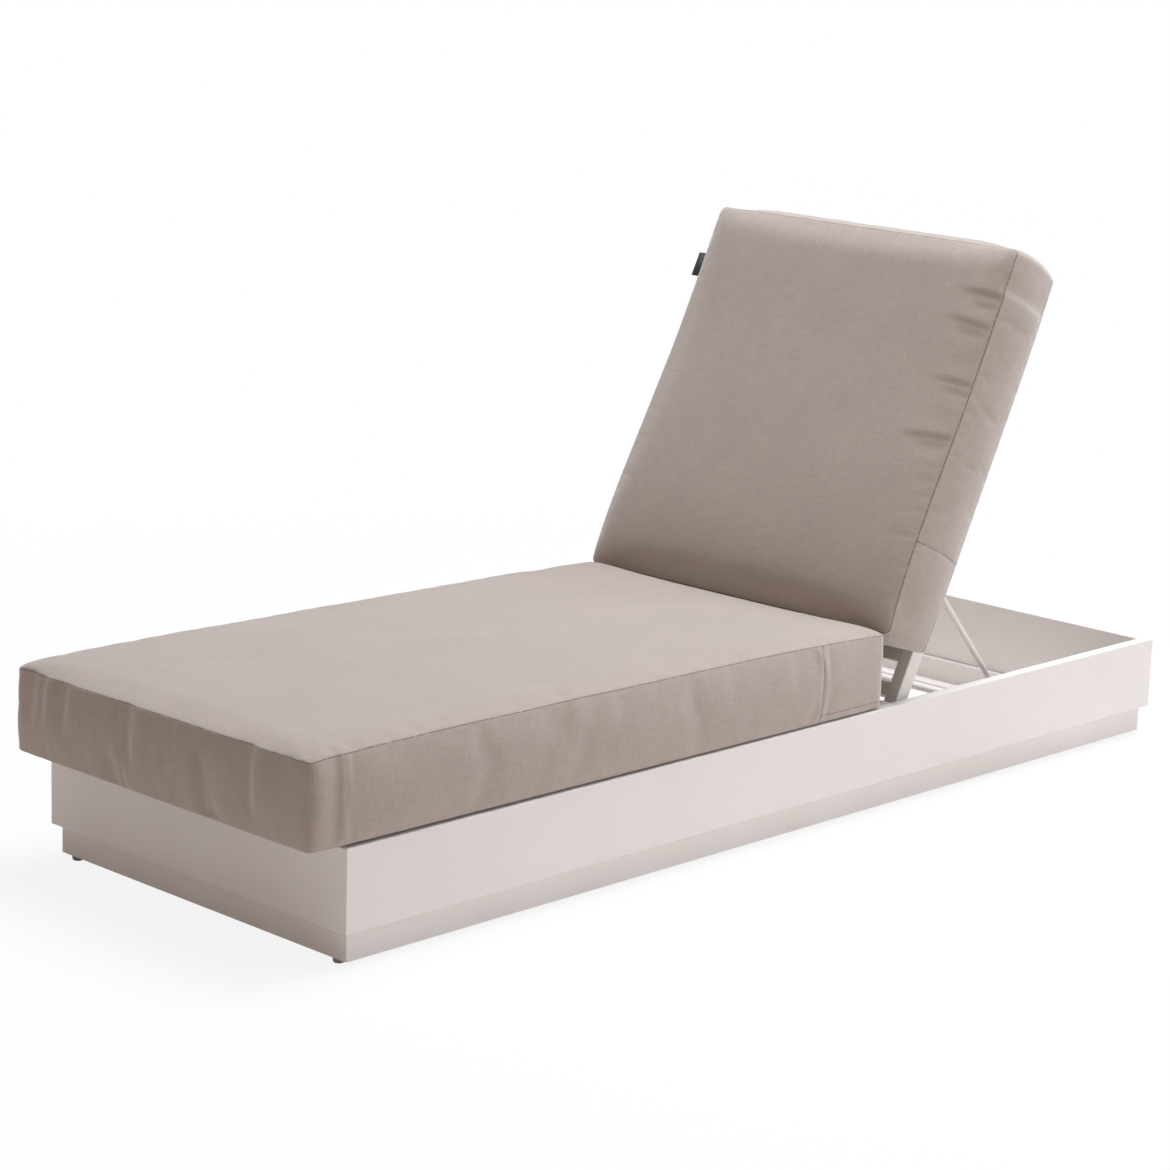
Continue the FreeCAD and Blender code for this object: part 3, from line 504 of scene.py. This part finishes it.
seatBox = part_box("seat_cushion")
seat = {
    "length": 1.275, "width": 0.7, "height": 0.133, "spacing": (0.02, 0.009, 0.009),
    "closeRows": (0.062, 1.109), "join": 1.109, "zipSide": 1, "zipRow": 0.013,
    "corner": 0.012, "bulge": (0.007, 0.005, 0.007),
    "topSeam": (0.136, 0.142, 0.139, 0.140, 0.135, 0.126),
    "bottomSeam": (0.004, 0.003, 0.002, 0.002, 0.001, 0.001),
    "ends": (0.001, 1.276), "slant": 0.0, "nearSide": -0.346, "farSide": (0.346, 0.341, 0.338, 0.338),
    "pressure": 8.0, "slack": 0.004, "topSwell": 0.0035, "sideSwell": 0.004,
    "crown": 0.0105, "rollWidth": 0.045, "waves": (0.45, 0.15),
    "folds": (  # face, start, end, width and depth, in mm from the cushion's foot end and middle
        ("foot", (284, 132), (287, 40), 12, 4.0), ("foot", (258, 132), (256, 45), 11, 4.0),
        ("foot", (197, 130), (200, 50), 14, 3.2), ("foot", (40, 130), (36, 8), 15, 4.2),
        ("foot", (76, 6), (88, 84), -14, 3.6), ("foot", (55, 6), (62, 60), -12, 2.8),
        ("foot", (-97, 6), (-93, 118), 11, 5.0), ("foot", (-238, 133), (-244, 0), 14, 4.8),
        ("foot", (-160, 4), (-154, 50), -11, 1.6), ("foot", (140, 4), (146, 60), -12, 1.6),
        ("near", (62, 134), (60, -60), -8, 2.4), ("near", (527, 134), (512, 70), -14, 1.8),
        ("near", (485, 8), (492, 110), 18, 1.2), ("near", (393, 8), (398, 90), 20, 1.0),
        ("near", (1021, 130), (1015, 50), 16, 1.0), ("near", (1117, 130), (1117, -80), 6, 0.9),
        ("top", (101, -340), (210, -255), 15, 1.8), ("top", (530, -340), (562, -255), 13, 1.8),
        ("top", (795, -340), (830, -240), 14, 1.6), ("top", (20, -336), (70, -296), 7, 2.0),
        ("top", (58, -342), (104, -296), 7, 1.8),
    ),
}
seatCushion = makeCushion("seatCushion", seat, Matrix.Translation((seatBox[0].x, 0, seatBox[0].z)))
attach(seatCushion, "base")
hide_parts("seat_cushion")

# the back's own frame: from the hinge along the raised rails
hinge = [joint for joint in frame["joints"] if joint["name"] == "back_recline"][0]
backSlope = Matrix.Rotation(-math.radians(hinge["range_deg"][1]), 4, "Y")
back = {
    "place": (0.09, 0, 0.0168),  # metres up the rails from the hinge, and out in front of its axis
    "length": 0.714, "width": 0.7, "height": 0.126, "spacing": (0.008, 0.013, 0.009),
    "closeRows": (0.168,), "join": 0.168, "zipSide": -1, "zipRow": 0.007,
    "corner": 0.012, "bulge": (0.008, 0.021, 0.012),
    "topSeam": (0.114, 0.127, 0.129, 0.126, 0.124, 0.127, 0.130),
    "bottomSeam": (0.002, 0.001, 0.001, 0.001, 0.001, 0.002, 0.008),
    "ends": (0.006, 0.701), "slant": 0.007,
    "nearSide": -0.351, "farSide": (0.348, 0.340, 0.336, 0.333, 0.332, 0.331),
    "pressure": 8.0, "slack": 0.004, "topSwell": 0.005, "sideSwell": 0.006,
    "crown": 0.009, "rollWidth": 0.045, "waves": (0.3, 0.1),
    "folds": (
        ("top", (619, -345), (621, -265), 6.5, 2.2), ("top", (600, -345), (601, -290), 6.5, 1.5),
        ("top", (563, -340), (572, -250), 7, 1.8), ("top", (548, -335), (553, -270), 7, 1.3),
        ("top", (459, -345), (460, -265), 6.5, 1.7), ("top", (441, -345), (444, -285), 6.5, 1.5),
        ("top", (360, -340), (353, -240), 7, 1.9), ("top", (345, -335), (338, -260), 7, 1.2),
        ("near", (615, 128), (618, -60), 9, 1.8),
    ),
}
backCushion = makeCushion(
    "backCushion", back, Matrix.Translation(hinge["pos_m"]) @ backSlope @ Matrix.Translation(back["place"]))
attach(backCushion, "back")
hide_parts("back_cushion")


# blank tab: a short ribbon folded over and caught in the far seam
tab = {"width": 0.045, "inside": 0.014, "thick": 0.0009, "gap": 0.0004}


def makeTab(tab):
    low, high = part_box("cushion_tab")
    reach = high.y - low.y + tab["inside"]
    shape = bmesh.new()
    pull = [shape.edges.new([shape.verts.new((x, 0, 0)) for x in (0, tab["width"])])]
    fold = tab["thick"] + tab["gap"] / 2
    # out to the fold, round it in four short steps, and back
    for step in ((0, reach - fold, 0), (0, fold * 0.7, fold * 0.3), (0, fold * 0.3, fold * 0.7),
                 (0, -fold * 0.3, fold * 0.7), (0, -fold * 0.7, fold * 0.3), (0, fold - reach, 0)):
        grown = bmesh.ops.extrude_edge_only(shape, edges=pull)["geom"]
        bmesh.ops.translate(shape, vec=step, verts=[g for g in grown if isinstance(g, bmesh.types.BMVert)])
        pull = [g for g in grown if isinstance(g, bmesh.types.BMEdge)
                and abs(g.verts[0].co.x - g.verts[1].co.x) > tab["width"] / 2]
    bmesh.ops.recalc_face_normals(shape, faces=shape.faces)
    bmesh.ops.solidify(shape, geom=shape.faces[:], thickness=tab["thick"])
    cloth = shape.loops.layers.uv.new("cloth")
    for face in shape.faces:
        for loop in face.loops:
            loop[cloth].uv = (loop.vert.co.y, loop.vert.co.x)
    mesh = bpy.data.meshes.new("seamTab")
    shape.to_mesh(mesh)
    shape.free()
    piece = bpy.data.objects.new("seamTab", mesh)
    scene.collection.objects.link(piece)
    middle = (low + high) / 2
    shift = backSlope @ Vector((-tab["width"] / 2, 0, -fold))
    place = (middle.x + shift.x, low.y - tab["inside"], middle.z + shift.z)
    mesh.transform(Matrix.Translation(place) @ backSlope)
    mesh.materials.append(ribbonMaterial)
    mesh.shade_smooth()
    return piece


seamTab = makeTab(tab)
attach(seamTab, "back")
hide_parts("cushion_tab")
print("tab done")


# studio: pale floor, a large soft lamp overhead, one beside the head end, and a pale room around them
studio = {
    "floorSize": 40.0, "floorGlow": 0.87, "floor": "#EEE6E2", "room": (0.28, 0.38), "roomTint": "#FFE7D6",
    "roomSide": (0.6, -0.8, 0.0),  # the room is brighter on this side, darker and warmer on the other
    "lamps": (  # name, place, size in metres, watts, colour
        ("overheadLamp", (1.0, -0.4, 4.5), 3.0, 282, "#F0F5FF"),
        ("sideLamp", (2.0, -3.0, 1.8), 1.6, 25, "#F4F8FF"),
    ),
    "lampAim": (0.2, 0, 0.3),
}


def seenPlainly(tree):
    # 1 where the camera, a reflection or a clear piece shows the surface, 0 where it only gives light
    rays = addNode(tree, "LightPath").outputs
    clear = addNode(tree, "Math", {"operation": "MAXIMUM"}, {
        0: rays["Is Glossy Ray"], 1: rays["Is Transmission Ray"]}).outputs[0]
    return addNode(tree, "Math", {"operation": "MAXIMUM"}, {0: rays["Is Camera Ray"], 1: clear}).outputs[0]


def makeFloor(studio):
    shape = bmesh.new()
    bmesh.ops.create_grid(shape, x_segments=2, y_segments=2, size=studio["floorSize"] / 2)
    mesh = bpy.data.meshes.new("paleFloor")
    shape.to_mesh(mesh)
    shape.free()
    floor = bpy.data.objects.new("paleFloor", mesh)
    scene.collection.objects.link(floor)
    material, tree, shader = startMaterial("palePaperFloor")
    direct = seenPlainly(tree)
    place = addNode(tree, "TexCoord").outputs["Object"]
    away = addNode(tree, "VectorMath", {"operation": "LENGTH"}, {0: place}).outputs["Value"]
    fade = addNode(tree, "MapRange", {"interpolation_type": "SMOOTHSTEP"}, {
        "Value": away, "From Min": 1.0, "From Max": 2.6,
        "To Min": studio["floorGlow"], "To Max": 1.0}).outputs["Result"]
    share = addNode(tree, "Math", {"operation": "MULTIPLY"}, {0: direct, 1: fade}).outputs[0]
    glow = addNode(tree, "Emission", sockets={"Color": (1, 1, 1, 1), "Strength": 1.0}).outputs[0]
    shader.inputs["Base Color"].default_value = linear(studio["floor"])
    shader.inputs["Roughness"].default_value = 0.9
    mixed = addNode(tree, "MixShader", sockets={0: share, 1: shader.outputs[0], 2: glow}).outputs[0]
    tree.links.new(mixed, tree.nodes["Material Output"].inputs["Surface"])
    mesh.materials.append(material)


def makeRoom(studio):
    world = bpy.data.worlds.new("paleRoom")
    world.use_nodes = True
    tree = world.node_tree
    direct = seenPlainly(tree)
    way = addNode(tree, "TexCoord").outputs["Generated"]
    share = addNode(tree, "VectorMath", {"operation": "DOT_PRODUCT"}, {
        0: way, 1: studio["roomSide"]}).outputs["Value"]
    bright = addNode(tree, "MapRange", {"interpolation_type": "SMOOTHSTEP"}, {
        "Value": share, "From Min": -0.8, "From Max": 0.8, "To Min": 0.0, "To Max": 1.0}).outputs["Result"]
    around = addNode(tree, "MapRange", sockets={
        "Value": bright, "To Min": studio["room"][0], "To Max": studio["room"][1]}).outputs["Result"]
    strength = addNode(tree, "MapRange", sockets={
        "Value": direct, "To Min": around, "To Max": 1.0}).outputs["Result"]
    white = addNode(tree, "Math", {"operation": "MAXIMUM"}, {0: direct, 1: bright}).outputs[0]
    colour = addNode(tree, "Mix", {"data_type": "RGBA"}, {
        0: white, 6: linear(studio["roomTint"]), 7: (1, 1, 1, 1)}).outputs[2]
    backdrop = tree.nodes["Background"]
    tree.links.new(colour, backdrop.inputs["Color"])
    tree.links.new(strength, backdrop.inputs["Strength"])
    scene.world = world


def makeLamps(studio):
    for name, place, size, watts, colour in studio["lamps"]:
        lamp = bpy.data.lights.new(name, "AREA")
        lamp.color = linear(colour)[:3]
        lamp.shape = "DISK"
        lamp.size = size
        lamp.energy = watts
        holder = bpy.data.objects.new(name, lamp)
        holder.location = place
        aim = Vector(studio["lampAim"]) - holder.location
        holder.rotation_euler = aim.to_track_quat("-Z", "Y").to_euler()
        scene.collection.objects.link(holder)


# camera from the straight edges of the photograph's box base
view = {"eye": (-3.846994, -3.572734, 1.572664), "azimuth": -46.116, "elevation": 12.948, "roll": 1.929,
        "focalPixels": 3173.843, "imagePixels": 1170}


def makeCamera(view):
    turn, rise, roll = [math.radians(view[name]) for name in ("azimuth", "elevation", "roll")]
    behind = Vector((math.sin(turn) * math.cos(rise), -math.cos(turn) * math.cos(rise), math.sin(rise)))
    right = Vector((math.cos(turn), math.sin(turn), 0))
    up = behind.cross(right)
    across = math.cos(roll) * right + math.sin(roll) * up
    upright = -math.sin(roll) * right + math.cos(roll) * up
    lens = bpy.data.cameras.new("photoCamera")
    lens.sensor_width = 36
    lens.lens = 36 * view["focalPixels"] / view["imagePixels"]
    lens.clip_end = 100
    camera = bpy.data.objects.new("photoCamera", lens)
    turned = Matrix((across, upright, behind)).transposed().to_4x4()
    camera.matrix_world = Matrix.Translation(view["eye"]) @ turned
    scene.collection.objects.link(camera)
    scene.camera = camera


makeFloor(studio)
makeRoom(studio)
makeLamps(studio)
makeCamera(view)
scene.view_settings.view_transform = "Standard"
print("studio and camera done")
